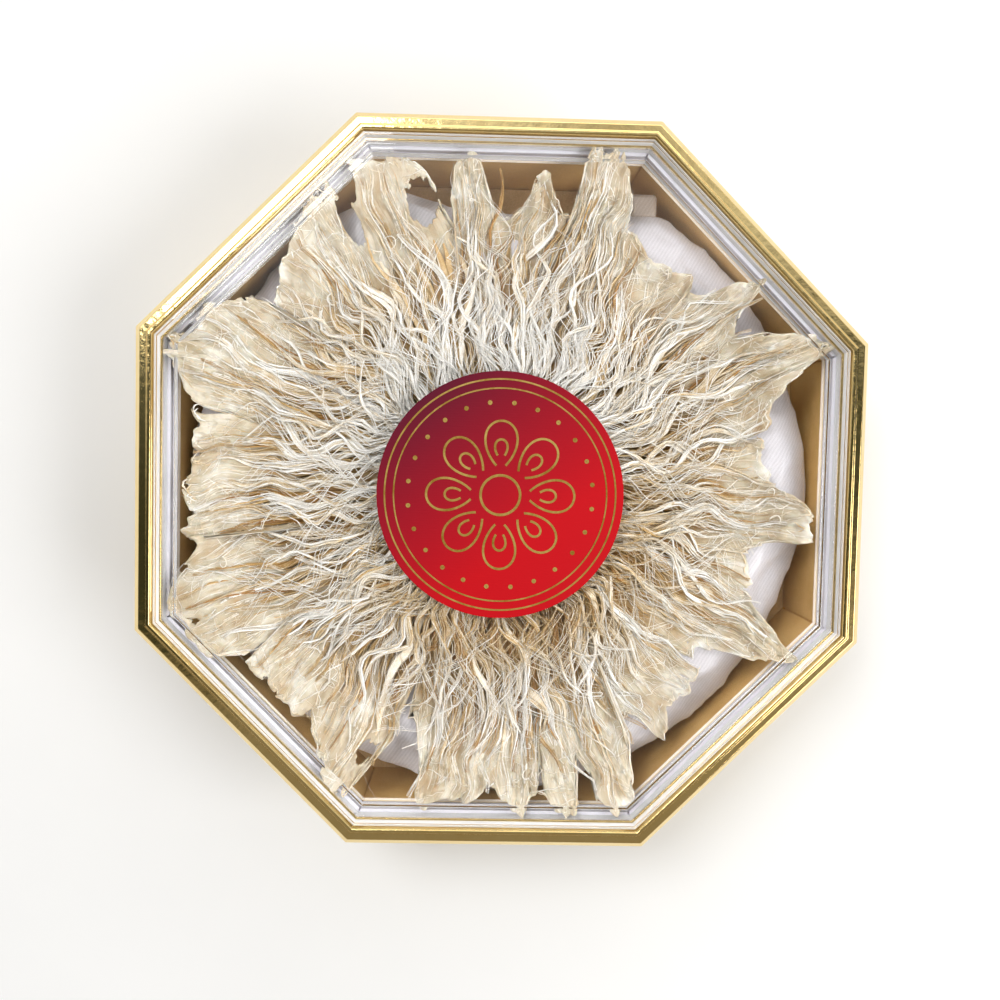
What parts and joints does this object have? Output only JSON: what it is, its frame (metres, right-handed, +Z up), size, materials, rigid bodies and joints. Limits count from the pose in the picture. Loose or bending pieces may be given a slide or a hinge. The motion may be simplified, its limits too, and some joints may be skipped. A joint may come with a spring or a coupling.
{
  "type": "edible bird's nests in an octagonal case",
  "caption": "Dried edible bird's nests laid as a rosette on a satin cushion in an octagonal gold case with a clear lid and a round seal.",
  "frame": {"origin": "centre of the case's footprint, on the surface it stands on", "axes": "+Z up through the lid; +Y towards the far flat, where the cushion dips; flats face +X and +Y"},
  "size_m": [0.2, 0.2, 0.0449],
  "materials": {
    "gold_plate": "polished gold metallised plastic",
    "gold_card": "satin gold foil on card",
    "ivory_satin": "satin, soft sheen",
    "dried_nest": "satin, translucent dried strands",
    "clear_plastic": "polished clear plastic",
    "red_label": "satin metallic red paper with gold lines"
  },
  "bodies": {
    "root": {"base_tray": "gold_plate", "liner_wall": "gold_card", "floor_card": "gold_card", "cushion": "ivory_satin", "lid_frame": "gold_plate", "lid_window": "clear_plastic", "seal_label": "red_label", "nest_01": "dried_nest", "nest_02": "dried_nest", "nest_03": "dried_nest", "nest_04": "dried_nest", "nest_05": "dried_nest", "nest_06": "dried_nest", "nest_07": "dried_nest", "nest_08": "dried_nest", "nest_09": "dried_nest", "nest_10": "dried_nest", "nest_11": "dried_nest", "nest_12": "dried_nest", "nest_13": "dried_nest"}
  },
  "joints": []
}
